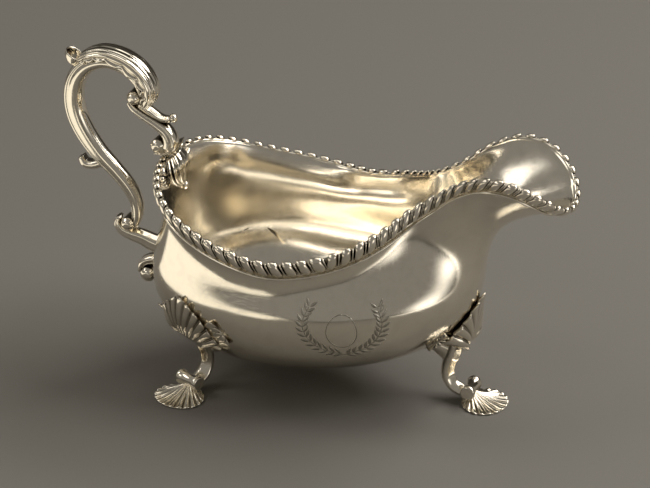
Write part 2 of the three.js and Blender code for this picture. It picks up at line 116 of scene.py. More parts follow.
TERMINAL = [(-60.4, 38.8, 4.6, 6), (-63.8, 38.4, 4.2, 6), (-67.4, 36.6, 3.6, 6), (-68.6, 32.8, 3.1, 6)]

# Cup at the leaf's tip, and the knob and bead of the neck and drop, in mm
CUP_PLACE = (-92.8, 0, 116)
CUP_RADII = (3.5, 3.8, 4.3)
NECK_KNOB = (-54.9, 96.2)
DROP_BEAD = (-51, 70.2)
BEAD_RADIUS = 1.7
# Sections of the small castings: between round and square, and their points
SQUARENESS = 2.4
RIDGED_SIDES = 24
# Eyes of the scrolls: x, height, radius and width, in mm
SCROLL_EYE = (-69, 103.4, 2.2, 8.4)
FOOT_EYE = (-72.8, 52, 2.2, 7.2)
NECK_EYE = (-60.4, 85.2, 2.3, 6.4)
TERMINAL_EYE = (-65.4, 32.4, 2.5, 6.8)

# Legs: foot place, turn in degrees and the side of the leg that faces the spout
LEGS = {
    "front": (64.4, 0, 0, 0),
    "rear_left": (-42.2, 32, 115, -1),
    "rear_right": (-42.2, -32, -115, 1),
}
SHANK = [
    (-10.9, 23.6, 5.4, 7), (-12.6, 18.2, 5.4, 6.7), (-14.1, 14, 5.1, 6.4), (-14.3, 9.6, 4.9, 6.3),
    (-12, 5.6, 4.5, 6.6), (-8, 3.9, 3.8, 6.6), (-4.6, 4.6, 3, 6.2),
]
KNEE_ROOT_X = -11.9
KNEE_ROOT_HEIGHT = 20.8
KNEE_ROOT_RADIUS = 1.5
KNUCKLE_X = -5.4
KNUCKLE_HEIGHT = 5.3
# Foot: half sizes along and across its leg, in mm
FOOT_LENGTH = 8.6
FOOT_WIDTH = 9.9


def between(first, last, share):
    return first + (last - first) * share


def even_shares(steps):
    """Even shares from 0 to 1, both included."""
    return [step / steps for step in range(steps + 1)]


def even_turns(count, offset=0):
    """Even angles once round a circle."""
    return [(index + offset) / count * 2 * math.pi for index in range(count)]


class SmoothLine:
    """A smooth line through stations, whose first columns are a place and whose others are sizes there."""

    def __init__(self, stations, closed=False, places=2):
        self.stations = np.array(stations, float)
        self.closed = closed
        self.places = places
        self.spans = len(stations) - (0 if closed else 1)

    def station(self, index):
        if self.closed:
            return self.stations[index % len(self.stations)]
        if index < 0:
            return 2 * self.stations[0] - self.stations[1]
        if index > self.spans:
            return 2 * self.stations[-1] - self.stations[-2]
        return self.stations[index]

    def at(self, share):
        place = share * self.spans
        index = math.floor(place)
        if not self.closed:
            index = min(max(index, 0), self.spans - 1)
        weight = place - index
        a, b, c, d = (self.station(index + step) for step in (-1, 0, 1, 2))
        gap_a, gap_b, gap_c = (
            max(float(np.linalg.norm((end - start)[: self.places])), 1e-6) ** 0.5
            for start, end in ((a, b), (b, c), (c, d))
        )
        leave = ((b - a) / gap_a - (c - a) / (gap_a + gap_b) + (c - b) / gap_b) * gap_b
        arrive = ((c - b) / gap_b - (d - b) / (gap_b + gap_c) + (d - c) / gap_c) * gap_b
        bend = 3 * (c - b) - 2 * leave - arrive
        turn = 2 * (b - c) + leave + arrive
        return b + weight * (leave + weight * (bend + weight * turn))

    def direction(self, share):
        step = 1e-4
        low, high = share - step, share + step
        if not self.closed:
            low, high = max(low, 0), min(high, 1)
        way = (self.at(high) - self.at(low))[: self.places]
        return way / np.linalg.norm(way)

    def measured(self, samples=400):
        """Shares along the line and the length up to each."""
        shares = np.linspace(0, 1, samples + 1)
        places = np.array([self.at(share)[: self.places] for share in shares])
        steps = np.linalg.norm(np.diff(places, axis=0), axis=1)
        return shares, np.concatenate([[0], np.cumsum(steps)])


def loop_through(stations):
    """Mirrors half stations into a closed loop that starts at the handle and runs along the near side."""
    near = [(x, -y, z) for x, y, z in stations]
    return SmoothLine(near + list(reversed(stations[1:-1])), closed=True, places=3)


rim_loop = loop_through(RIM)
neck_loop = loop_through(NECK)


def wall_line(share):
    """The upright line of the bowl's outer face at one place round the rim, rim first."""
    rim = rim_loop.at(share)
    neck = neck_loop.at(share)
    reach = BELLY_FRONT if neck[0] > BOWL_CENTRE_X else BELLY_BACK
    angle = math.atan2(neck[1] / BELLY_HALF_WIDTH, (neck[0] - BOWL_CENTRE_X) / reach)
    widest = BELLY_HEIGHT + BREAST_LIFT * max(0, math.cos(angle)) ** 2
    places = [rim, neck]
    for row in range(BELLY_ROWS + 1):
        down = row / BELLY_ROWS * math.pi / 2
        out = max(math.cos(down), 0) ** (2 / BELLY_FULLNESS)
        drop = math.sin(down) ** (2 / BELLY_FULLNESS)
        x = BOWL_CENTRE_X + reach * out * math.cos(angle)
        y = BELLY_HALF_WIDTH * out * math.sin(angle)
        places.append((x, y, between(widest, BOTTOM_HEIGHT, drop)))
    return SmoothLine(places, places=3)


class RimBand:
    """Places on the wall under the rim, by distance along the rim, down the wall and out of it, in mm."""

    columns = 420
    depths = np.arange(-3, 9)

    def __init__(self):
        shares, lengths = rim_loop.measured(1200)
        self.length = lengths[-1]
        grid = []
        outward = []
        for column in range(self.columns):
            share = float(np.interp(column / self.columns * self.length, lengths, shares))
            line = wall_line(share)
            parts, reached = line.measured(60)
            along = rim_loop.direction(share)
            start = line.at(0)
            fall = line.direction(0)
            places = []
            normals = []
            for depth in self.depths:
                part = float(np.interp(max(depth, 0), reached, parts))
                downward = line.direction(part)
                normal = np.cross(downward, along)
                places.append(start + fall * depth if depth < 0 else line.at(part))
                normals.append(normal / np.linalg.norm(normal))
            grid.append(places)
            outward.append(normals)
        self.grid = np.array(grid)
        self.outward = np.array(outward)

    def place(self, along, down, out):
        column = (along / self.length * self.columns) % self.columns
        row = min(max(down - self.depths[0], 0), len(self.depths) - 1.001)
        i, j = int(column), int(row)
        k = (i + 1) % self.columns
        a, b = column - i, row - j
        weights = ((1 - a) * (1 - b), (1 - a) * b, a * (1 - b), a * b)
        spots = ((i, j), (i, j + 1), (k, j), (k, j + 1))
        spot = sum(w * self.grid[p] for w, p in zip(weights, spots))
        normal = sum(w * self.outward[p] for w, p in zip(weights, spots))
        return Vector((spot + normal * out) * MM)


band = RimBand()


def ring_edges(bm, ring):
    return [bm.edges.get((a, b)) for a, b in zip(ring, ring[1:] + ring[:1])]


def draw_ring(bm, ring, places):
    """Extrudes a ring of vertices and brings the new ring to its places."""
    made = bmesh.ops.extrude_edge_only(bm, edges=ring_edges(bm, ring))["geom"]
    fresh = {item for item in made if isinstance(item, bmesh.types.BMVert)}
    following = []
    for vertex, place in zip(ring, places):
        partners = (edge.other_vert(vertex) for edge in vertex.link_edges)
        copy = next(partner for partner in partners if partner in fresh)
        copy.co = place
        following.append(copy)
    return following


def loft(bm, rings, capped=(True, True)):
    """Draws a surface through rings of places, and closes its ends."""
    first = bmesh.ops.create_circle(bm, cap_ends=False, radius=MM, segments=len(rings[0]))["verts"]
    for vertex, place in zip(first, rings[0]):
        vertex.co = place
    ring = first
    for places in rings[1:]:
        ring = draw_ring(bm, ring, places)
    for end, wanted in ((first, capped[0]), (ring, capped[1])):
        if wanted:
            bmesh.ops.contextual_create(bm, geom=ring_edges(bm, end))


def swept_rings(stations, section, steps):
    """Rings of a section carried along stations in the middle plane. The section gives outward and across
    half sizes for a share along the line."""
    line = SmoothLine(stations)
    rings = []
    for share in even_shares(steps):
        x, z, thick, wide = line.at(share)
        way = line.direction(share)
        centre = Vector((x, 0, z)) * MM
        outward = Vector((-way[1], 0, way[0]))
        rings.append(
            [
                centre + outward * (out * thick / 2 * MM) + ACROSS * (across * wide / 2 * MM)
                for out, across in section(share)
            ]
        )
    return rings


def swept(bm, stations, section, steps):
    loft(bm, swept_rings(stations, section, steps))


def turned(bm, x, z, profile, steps=28):
    """Turns a profile of radius and offset across the boat about an axis across it, in mm."""
    centre = Vector((x, 0, z)) * MM
    points = [bm.verts.new(centre + Vector((0, offset, radius)) * MM) for radius, offset in profile]
    edges = [bm.edges.new(pair) for pair in zip(points, points[1:])]
    bmesh.ops.spin(
        bm, geom=points + edges, cent=centre, axis=ACROSS, dvec=(0, 0, 0), angle=2 * math.pi,
        space=Matrix.Identity(4), steps=steps, use_merge=True, use_normal_flip=False, use_duplicate=False,
    )
    touched = {v for v in points if v.is_valid} | {v for e in bm.edges if e.is_valid for v in e.verts}
    bmesh.ops.remove_doubles(bm, verts=list(touched), dist=0.01 * MM)


def rounded(count, squareness):
    """A section between a round and a square one, as outward and across half sizes."""
    return [
        tuple(math.copysign(abs(half) ** (2 / squareness), half) for half in (math.cos(turn), math.sin(turn)))
        for turn in even_turns(count, 0.5)
    ]


def new_object(name, bm):
    """Makes a bmesh an object of the scene."""
    mesh = bpy.data.meshes.new(name)
    bm.to_mesh(mesh)
    bm.free()
    thing = bpy.data.objects.new(name, mesh)
    bpy.context.scene.collection.objects.link(thing)
    return thing


def finish_piece(name, bm, material, replaced=(), levels=2, thickness=0, inner=None):
    """Makes a bmesh a named piece of the boat, with its material and the nodes it stands for."""
    bmesh.ops.recalc_face_normals(bm, faces=bm.faces)
    # An open sheet's normals can face its hollow, and it has to thicken inward from its outer face
    if thickness and min(bm.faces, key=lambda face: face.calc_center_median().z).normal.z > 0:
        bmesh.ops.reverse_faces(bm, faces=bm.faces)
    piece = new_object(name, bm)
    piece.data.shade_smooth()
    piece.data.materials.append(material)
    if thickness:
        sheet = piece.modifiers.new("Sheet", "SOLIDIFY")
        sheet.thickness = thickness
        sheet.offset = -1
        sheet.use_even_offset = True
        if inner:
            piece.data.materials.append(inner)
            sheet.material_offset = 1
    if levels:
        smoothing = piece.modifiers.new("Smooth silver", "SUBSURF")
        smoothing.levels = levels
        smoothing.render_levels = levels
    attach(piece, BODY)
    if replaced:
        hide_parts(*replaced)
    return piece


def cast_piece(name, bm, *replaced):
    """Makes a bmesh a cast piece of the boat."""
    finish_piece(name, bm, finishes()[CAST], replaced, levels=1)


def add_node(tree, kind, settings=None, **inputs):
    """Adds a shader node, sets its settings and inputs, and links any input that is another node's socket."""
    node = tree.nodes.new(kind)
    for key, value in (settings or {}).items():
        setattr(node, key, value)
    for key, value in inputs.items():
        socket = node.inputs[int(key[1:]) if key[0] == "_" else key.replace("_", " ").title()]
        if isinstance(value, bpy.types.NodeSocket):
            tree.links.new(value, socket)
        else:
            socket.default_value = value
    return node


def maths(tree, operation, *values, **settings):
    """Adds a maths node and returns its output."""
    inputs = {f"_{index}": value for index, value in enumerate(values)}
    return add_node(tree, "ShaderNodeMath", {"operation": operation, **settings}, **inputs).outputs[0]


def remapped(tree, value, low, high, first, last):
    """Carries a value from one range to another."""
    return add_node(tree, "ShaderNodeMapRange", _0=value, _1=low, _2=high, _3=first, _4=last).outputs[0]


def blended(tree, share, first, last):
    """Mixes two colours, each a plain colour or another node's socket."""
    ends = [end if isinstance(end, bpy.types.NodeSocket) else (*end, 1) for end in (first, last)]
    return add_node(tree, "ShaderNodeMix", {"data_type": "RGBA"}, _0=share, _6=ends[0], _7=ends[1]).outputs[2]


def hairlines(tree, place, turn, scale, cover):
    """Fine scratches along one direction, as a mask from 0 to 1."""
    stretched = add_node(tree, "ShaderNodeMapping", vector=place, rotation=turn, scale=scale)
    noise = add_node(
        tree, "ShaderNodeTexNoise", vector=stretched.outputs[0], scale=1.0, detail=3.0, roughness=0.6
    )
    return remapped(tree, noise.outputs["Fac"], 1 - cover, 1 - cover * 0.55, 0.0, 1.0)


def silver(name, colour, tarnish_and_shade, gloss, scratches, tarnish_and_shade_reach, wave):
    """Polished silver: fine hairlines and soft wear in its gloss, and tarnish with painted shade that darkens
    the recesses.
    """
    material = bpy.data.materials.new(name)
    material.use_nodes = True
    tree = material.node_tree
    shader = tree.nodes["Principled BSDF"]
    shader.inputs["Metallic"].default_value = 1.0
    place = add_node(tree, "ShaderNodeTexCoord").outputs["Object"]
    lines = [
        hairlines(tree, place, (0.3, 0.9, 0.2), (5200, 190, 190), 0.46),
        hairlines(tree, place, (1.2, 0.2, 1.9), (170, 4700, 170), 0.45),
        hairlines(tree, place, (0.7, 2.1, 0.8), (210, 210, 5600), 0.44),
    ]
    crossed = maths(tree, "MAXIMUM", maths(tree, "MAXIMUM", lines[0], lines[1]), lines[2])
    clouds = add_node(tree, "ShaderNodeTexNoise", vector=place, scale=70.0, detail=4.0, roughness=0.55)
    cloud = clouds.outputs["Fac"]
    worn = maths(tree, "MULTIPLY_ADD", crossed, scratches, remapped(tree, cloud, 0.3, 0.75, *gloss))
    tree.links.new(worn, shader.inputs["Roughness"])
    # Tarnish with painted shade: ambient occlusion within the reach darkens the colour in recesses, creases
    # and between parts
    recess = add_node(
        tree, "ShaderNodeAmbientOcclusion", {"samples": 8, "only_local": True}, distance=tarnish_and_shade_reach
    )
    open_metal = remapped(tree, recess.outputs["AO"], 0.45, 0.97, 0.0, 1.0)
    grime = add_node(tree, "ShaderNodeTexNoise", vector=place, scale=260.0, detail=5.0).outputs["Fac"]
    share = maths(tree, "ADD", open_metal, remapped(tree, grime, 0.35, 0.7, -0.05, 0.04), use_clamp=True)
    bright = blended(tree, cloud, colour, [c * 0.965 for c in colour])
    # Base colour: tarnish and painted shade where the occlusion mask is low, bright metal where it is high
    tree.links.new(blended(tree, share, tarnish_and_shade, bright), shader.inputs["Base Color"])
    hammered = add_node(tree, "ShaderNodeTexNoise", vector=place, scale=38.0, detail=1.0).outputs["Fac"]
    rippled = add_node(tree, "ShaderNodeBump", strength=wave, distance=0.0004, height=hammered)
    scored = add_node(
        tree, "ShaderNodeBump", {"invert": True}, strength=0.35, distance=0.000012, height=crossed,
        normal=rippled.outputs[0],
    )
    tree.links.new(scored.outputs[0], shader.inputs["Normal"])
    return material


def finishes():
    """The boat's silver finishes, made once from the chosen colours."""
    colours = bpy.context.scene.sauceboat_finish
    made = {}
    gloss = colours.gloss
    dark = [c * 0.5 for c in colours.silver]
    # Each finish: colour, gloss range, scratches, reach of the tarnish and painted recess shade, and ripple
    # strength
    kinds = {
        RAISED: (colours.silver, (gloss, gloss + 0.07), 0.1, 2 * MM, 0.1),
        CAST: (colours.silver, (gloss, gloss + 0.07), 0.07, 2.6 * MM, 0.1),
        INNER: (colours.inner, (gloss + 0.04, gloss + 0.12), 0.08, 2 * MM, 0.45),
        ENGRAVED: (dark, (0.3, 0.42), 0.1, MM, 0.1),
    }
    for name, (colour, *settings) in kinds.items():
        label = name + "_finish"
        made[name] = bpy.data.materials.get(label) or silver(label, colour, colours.tarnish_and_shade, *settings)
    return made


class SauceBoatSizes(bpy.types.PropertyGroup):
    """Sizes of the worked silver that a user would change."""

    sheet: bpy.props.FloatProperty(
        name="Sheet thickness", description="Thickness of the bowl's raised sheet", default=1.1 * MM,
        unit="LENGTH",
    )
    lobes_per_side: bpy.props.IntProperty(
        name="Lobes a side", description="Gadroon lobes on each side of the rim", default=42, min=8, max=80
    )
    wire_radius: bpy.props.FloatProperty(
        name="Wire radius", description="Radius of the plain wire under the lobes", default=0.62 * MM,
        unit="LENGTH",
    )
    shell_lobes: bpy.props.IntProperty(
        name="Shell lobes", description="Lobes of the shell on each leg's knee", default=9, min=5, max=15
    )
    shell_relief: bpy.props.FloatProperty(
        name="Shell relief", description="How far a knee shell stands off the bowl", default=2.5 * MM,
        unit="LENGTH",
    )
    foot_flutes: bpy.props.IntProperty(
        name="Foot flutes", description="Flutes of each scallop foot", default=18, min=8, max=24
    )


class SauceBoatFinish(bpy.types.PropertyGroup):
    """Colours and gloss of the silver."""

    silver: bpy.props.FloatVectorProperty(
        name="Silver", description="Colour of the open metal", subtype="COLOR", size=3,
        default=(0.945, 0.885, 0.765), min=0, max=1,
    )
    inner: bpy.props.FloatVectorProperty(
        name="Inner silver", description="Colour of the worn metal inside the bowl", subtype="COLOR", size=3,
        default=(0.955, 0.9, 0.79), min=0, max=1,
    )
    # Tarnish colour, also used as painted shade: ambient occlusion blends it into recesses and between parts
    tarnish_and_shade: bpy.props.FloatVectorProperty(
        name="Tarnish", description="Colour of the metal in the recesses", subtype="COLOR", size=3,
        default=(0.1, 0.075, 0.045), min=0, max=1,
    )
    gloss: bpy.props.FloatProperty(
        name="Gloss", description="Roughness of the polished metal", default=0.07, min=0, max=1,
        subtype="FACTOR",
    )


class SauceBoatStudio(bpy.types.PropertyGroup):
    """Colours and lamps of the plain studio."""

    floor: bpy.props.FloatVectorProperty(
        name="Floor", description="Colour of the floor and backdrop", subtype="COLOR", size=3,
        default=(0.245, 0.232, 0.21), min=0, max=1,
    )
    light: bpy.props.FloatProperty(
        name="Light", description="Strength of the soft lamps", default=1.0, min=0, max=4, subtype="FACTOR"
    )


class SAUCEBOAT_OT_bowl(bpy.types.Operator):
    """Raises the bowl's sheet from the rim down to its bottom"""

    bl_idname = "sauceboat.bowl"
    bl_label = "Bowl"

    def execute(self, context):
        columns = 3 * rim_loop.spans
        lines = [wall_line(column / columns) for column in range(columns)]
        rings = [[Vector(line.at(depth) * MM) for line in lines] for depth in BOWL_ROWS]
        bm = bmesh.new()
        loft(bm, rings, capped=(False, True))
        finish_piece(
            "raised_bowl", bm, finishes()[RAISED], ["bowl"], levels=2,
            thickness=context.scene.sauceboat_sizes.sheet, inner=finishes()[INNER],
        )
        return {"FINISHED"}


def band_rings(side, section, steps):
    """Rings of a section, down the wall and out of it, carried along one side of the rim."""
    rings = []
    for share in even_shares(steps):
        start = side * share * band.length / 2
        rings.append([band.place(start, down, out) for down, out in section])
    return rings


def lobe_rings(start, slant, size, stations, sides=8, steps=9):
    """Rings of one lobe of the border, from over the rim down to the wire."""
    line = SmoothLine([(down, out, wide * size, thick) for down, out, wide, thick in stations])
    rings = []
    for share in even_shares(steps):
        down, out, wide, thick = line.at(share)
        way = line.direction(share)
        ring = []
        for turn in even_turns(sides):
            lift = math.cos(turn) * thick
            lower = down + way[1] * lift
            proud = out - way[0] * lift
            ring.append(band.place(start + slant * lower + math.sin(turn) * wide, lower, proud))
        rings.append(ring)
    return rings


def stroke_rings(stations, place, sides=8, steps=10):
    """Rings of a stroke laid on a surface, through stations of two places and half sizes across and up."""
    line = SmoothLine(stations)
    rings = []
    for share in even_shares(steps):
        u, v, wide, high = line.at(share)
        way = line.direction(share)
        ring = []
        for turn in even_turns(sides):
            aside = math.sin(turn) * wide
            ring.append(place(u - way[1] * aside, v + way[0] * aside, math.cos(turn) * high))
        rings.append(ring)
    return rings


# Border: stations of a lobe and of a reed, down the wall and out of it, with half sizes across and
# through, the strip's section, the wire's place, and the pitch that a lobe's width is drawn for, in mm
LOBE = [
    (0, -0.75, 1.2, 0.45), (-0.8, -0.45, 1.55, 0.8), (-1.15, 0.2, 1.7, 1.05), (-0.6, 0.85, 1.75, 1.05),
    (0.35, 1.05, 1.55, 0.8), (1.3, 1.1, 1.8, 0.95), (2.7, 0.95, 1.76, 0.95), (4.1, 0.6, 1.3, 0.6),
    (4.6, 0.45, 0.5, 0.3),
]
REED = [
    (-0.1, -0.4, 0.25, 0.3), (-0.6, 0.05, 0.5, 0.5), (-0.2, 0.75, 0.55, 0.6), (0.7, 0.95, 0.4, 0.4),
    (2.2, 0.9, 0.4, 0.4), (4.4, 0.4, 0.3, 0.3),
]
STRIP = [
    (4.5, -0.2), (4.5, 0.2), (2.2, 0.3), (0.4, 0.3), (-0.3, 0.1), (-0.45, -0.5), (-0.2, -1.05), (0.9, -0.9),
]
LOBE_PITCH = 4.6
# Shares of a side where the lobes are fatter, and where their slant turns and the reeds double
FAT_LOBES = (0.475, 0.74)
FAT = 1.25
SLANT_TURNS = 0.47
SLANTS = (0.34, -0.2)
REEDS_DOUBLE = 0.55
WIRE_DOWN = 5.6
WIRE_OUT = 0.7
STRIP_STEPS = 150
WIRE_STEPS = 120


class SAUCEBOAT_OT_border(bpy.types.Operator):
    """Casts the gadroon border: slanting lobes with fine reeds between them, over a plain strip"""

    bl_idname = "sauceboat.border"
    bl_label = "Gadroon border"

    def execute(self, context):
        sizes = context.scene.sauceboat_sizes
        pitch = band.length / 2 / sizes.lobes_per_side
        for side, name in ((1, "right"), (-1, "left")):
            bm = bmesh.new()
            loft(bm, band_rings(side, STRIP, STRIP_STEPS))
            for index in range(sizes.lobes_per_side):
                share = (index + 0.5) / sizes.lobes_per_side
                slant = side * SLANTS[share >= SLANT_TURNS]
                fat = FAT if any(abs(share - place) < 0.012 for place in FAT_LOBES) else 1.0
                start = side * share * band.length / 2 - slant * 1.2
                loft(bm, lobe_rings(start, slant, fat * pitch / LOBE_PITCH, LOBE))
                beside = start + side * pitch * 0.5
                for shift in (0.0,) if share < REEDS_DOUBLE else (-0.3, 0.45):
                    loft(bm, lobe_rings(beside + side * shift, slant, 1.0, REED, sides=6, steps=5))
            cast_piece("border_" + name, bm, "gadroon_border_" + name)
        return {"FINISHED"}


class SAUCEBOAT_OT_wire(bpy.types.Operator):
    """Draws the plain wire that runs under the border"""

    bl_idname = "sauceboat.wire"
    bl_label = "Rim wire"

    def execute(self, context):
        radius = context.scene.sauceboat_sizes.wire_radius / MM
        section = [
            (WIRE_DOWN + radius * math.cos(turn), WIRE_OUT + radius * math.sin(turn))
            for turn in even_turns(8)
        ]
        for side, name in ((1, "right"), (-1, "left")):
            bm = bmesh.new()
            loft(bm, band_rings(side, section, WIRE_STEPS))
            cast_piece("wire_" + name, bm, "rim_wire_" + name)
        return {"FINISHED"}


def scroll_section(share):
    """The scroll's section: a rounded outer edge, a groove down each broad side and a narrower inner edge."""
    half = [
        (1.0, 0.0), (0.97, 0.34), (0.84, 0.68), (0.64, 0.9), (0.5, 0.82), (0.34, 0.84), (0.16, 1.0),
        (-0.25, 1.0), (-0.6, 0.86), (-0.86, 0.5),
    ]
    return half + [(-1.0, 0.0)] + [(out, -across) for out, across in reversed(half[1:])]


def disc_profile(radius, width):
    """Half profile of a scroll's eye: a domed boss, a groove and a raised ring, alike on both faces."""
    face = [
        (0.0, 0.62), (0.42, 0.62), (0.66, 0.59), (0.88, 0.52), (1.0, 0.46), (1.12, 0.44), (1.18, 0.36),
        (1.18, 0.2),
    ]
    front = [(radius * r, width * offset) for r, offset in face]
    return front + [(r, -offset) for r, offset in reversed(front)]


def leaf_section(share):
    """The leaf's section: a veined blade that droops over the scroll's sides to a pointed, cut edge."""
    blades = 10
    tooth = math.sin(math.pi * ((share * blades) % 1)) ** 0.7
    skirt = 1.75 * (0.5 + 0.5 * tooth) * min(1, 7 * share) * min(1, 7 * (1 - share) + 0.2)
    count = 48
    crown = 0.62
    upper = []
    lower = []
    for index in range(count + 1):
        part = 2 * index / count - 1
        angle = min(abs(part) / crown, 1) * math.pi / 2
        fall = max(abs(part) - crown, 0) / (1 - crown)
        vein = 1.03 - 0.17 * (1 - abs(math.cos(4.5 * math.pi * part)) ** 0.6)
        out = vein * math.cos(angle) - skirt * fall
        across = math.copysign(vein * math.sin(angle) * (1 + 0.035 * fall), part)
        upper.append((out, across))
        lower.append((out - 0.3 * math.cos(angle), across - math.copysign(0.14, part)))
    return upper + lower[::-1]


class SAUCEBOAT_OT_leaf(bpy.types.Operator):
    """Casts the leaf over the top of the scroll, with its long veins, cut edge and cupped tip"""

    bl_idname = "sauceboat.leaf"
    bl_label = "Handle leaf"

    def execute(self, context):
        bm = bmesh.new()
        swept(bm, LEAF, leaf_section, 100)
        cup = bmesh.ops.create_uvsphere(bm, u_segments=16, v_segments=8, radius=1.0)["verts"]
        bmesh.ops.scale(bm, verts=cup, vec=Vector(CUP_RADII) * MM)
        joined = {e for v in cup for e in v.link_edges} | {f for v in cup for f in v.link_faces}
        cut = bmesh.ops.bisect_plane(
            bm, geom=cup + list(joined), dist=1e-6, plane_co=(0, 0, 0.8 * MM), plane_no=(0.62, 0, 0.78),
            clear_outer=True,
        )
        shell = set()
        for item in cut["geom"]:
            shell.update([item] if isinstance(item, bmesh.types.BMVert) else item.verts)
        faces = list({f for v in shell for f in v.link_faces})
        bmesh.ops.recalc_face_normals(bm, faces=faces)
        bmesh.ops.solidify(bm, geom=faces, thickness=0.5 * MM)
        whole_cup = set()
        waiting = list(shell)
        while waiting:
            vertex = waiting.pop()
            if vertex not in whole_cup:
                whole_cup.add(vertex)
                waiting.extend(edge.other_vert(vertex) for edge in vertex.link_edges)
        place = Matrix.Translation(Vector(CUP_PLACE) * MM) @ Matrix.Rotation(math.radians(-8), 4, "Y")
        bmesh.ops.transform(bm, matrix=place, verts=list(whole_cup))
        cast_piece("leaf", bm, "handle_leaf")
        return {"FINISHED"}


def ridged_section(ridges, relief):
    """A rounded section with ridges that run along the piece."""
    pairs = []
    for turn, (out, across) in zip(even_turns(RIDGED_SIDES, 0.5), rounded(RIDGED_SIDES, SQUARENESS)):
        wave = 1 + relief * math.cos(ridges * turn)
        pairs.append((out * wave, across * wave))
    return lambda share: pairs


class SAUCEBOAT_OT_collar(bpy.types.Operator):
    """Casts the crest that clasps the rim under the handle"""

    bl_idname = "sauceboat.collar"
    bl_label = "Handle collar"

    def execute(self, context):
        bm = bmesh.new()
        line = SmoothLine(COLLAR)
        rings = []
        count = 28
        for share in even_shares(14):
            x, z, thick = line.at(share)
            half = COLLAR_HALF_WIDTH * between(0.55, 1, share)
            upper = []
            lower = []
            for index in range(count + 1):
                across = 2 * index / count - 1
                crest = 0.16 * math.cos(5 * math.pi * across)
                lift = 1.5 * share * across ** 4
                rim = (1 - abs(across) ** 3) * thick / 2
                upper.append(Vector((x, across * half, z + rim * (1 + crest) + lift)) * MM)
                lower.append(Vector((x, across * half * 0.98, z - rim - 0.15 + lift)) * MM)
            rings.append(upper + lower[::-1])
        loft(bm, rings)
        cast_piece("collar", bm, "handle_collar")
        return {"FINISHED"}


def reeded_section(reeds, relief, count):
    """A round section with rounded reeds that run along the piece."""
    pairs = []
    for turn in even_turns(count):
        wave = 1 - relief * (1 - abs(math.cos(reeds * turn)) ** 0.6)
        pairs.append((math.cos(turn) * wave, math.sin(turn) * wave))
    return lambda share: pairs


def spur_section(share):
    """The spur's section, with three ribs round it."""
    return [
        (out * (1 + 0.1 * math.cos(3 * math.atan2(across, out))), across)
        for out, across in rounded(16, SQUARENESS)
    ]


# Handle's swept pieces: stations, section and steps of each sweep, eyes of the scrolls, and beads
HANDLE_PIECES = {
    "scroll": ([(SCROLL, scroll_section, 64)], [SCROLL_EYE, FOOT_EYE], []),
    "spur": ([(SPUR, spur_section, 20)], [], []),
    "neck": (
        [(NECK_STEM, scroll_section, 36), (NECK_LEAF, ridged_section(5, 0.08), 20)], [NECK_EYE], [NECK_KNOB],
    ),
    "drop": ([(DROP, reeded_section(6, 0.3, 84), 22)], [], [DROP_BEAD]),
    "arm": ([(ARM, ridged_section(6, 0.06), 24)], [], []),
    "terminal": ([(TERMINAL, scroll_section, 24)], [TERMINAL_EYE], []),
}


class SAUCEBOAT_OT_handle(bpy.types.Operator):
    """Casts the handle's swept pieces, with the eyes of their scrolls and their beads"""

    bl_idname = "sauceboat.handle"
    bl_label = "Handle castings"

    def execute(self, context):
        for name, (sweeps, eyes, beads) in HANDLE_PIECES.items():
            bm = bmesh.new()
            for stations, section, steps in sweeps:
                swept(bm, stations, section, steps)
            for x, z, radius, width in eyes:
                turned(bm, x, z, disc_profile(radius, width))
            for x, z in beads:
                bead = bmesh.ops.create_uvsphere(bm, u_segments=14, v_segments=10, radius=BEAD_RADIUS * MM)
                bmesh.ops.translate(bm, verts=bead["verts"], vec=Vector((x, 0, z)) * MM)
            cast_piece(name, bm, "handle_" + name)
        return {"FINISHED"}


# Clasp: strokes inside the rim beside the drop, by distance along the rim and down the wall, in mm
CLASP = [
    [(4.6, 4.6, 0.5, 0.6), (8.5, 4.5, 0.75, 0.8), (12.4, 4.3, 0.5, 0.6)],
    [(4.2, 6.1, 0.5, 0.6), (8, 6.1, 0.75, 0.8), (11.6, 5.9, 0.5, 0.6)],
    [(3.6, 7.5, 0.5, 0.6), (7, 7.5, 0.7, 0.8), (10, 7.3, 0.5, 0.6)],
    [(3.4, 3.4, 0.6, 0.7), (7.6, 3, 1, 1), (10.8, 1.2, 1, 1.1), (9.6, -0.3, 0.8, 0.9), (7.8, 0.6, 0.7, 0.8)],
    [(2.6, 1.6, 0.7, 0.8), (5, 1.9, 1.1, 1.1), (7, 0.8, 0.9, 1), (6, -0.4, 0.7, 0.8), (4.8, 0.2, 0.5, 0.6)],
    [(10, 3.2, 0.5, 0.7), (12.6, 2.6, 0.9, 1), (14.4, 1.2, 0.7, 0.8)],
]
CLASP_OUT = -1.3


class SAUCEBOAT_OT_clasp(bpy.types.Operator):
    """Casts the leafy scrolls and short bars beside the drop"""

    bl_idname = "sauceboat.clasp"
    bl_label = "Handle clasp"

    def execute(self, context):
        bm = bmesh.new()
        for side in (1, -1):
            for stations in CLASP:
                loft(bm, stroke_rings(stations, lambda u, v, lift: band.place(side * u, v, CLASP_OUT - lift)))
        cast_piece("clasp", bm)
        return {"FINISHED"}


# Sprays: their middle on the near side and their parts, in mm along and up, and half sizes of a line
DEVICE = (22.4, 41.5)
OVAL = (5.2, 6.6)
SPRAY = [(-3.6, -11), (2, -9.6), (8, -6.8), (12.2, -1.8), (13.4, 3.8), (11.6, 8.8)]
SPRAY_LEAVES = 13
LEAF_SHAPE = ((0.1, 0.08), (0.4, 0.55), (0.7, 0.5), (1, 0.05))
LINE = (0.2, 0.09)


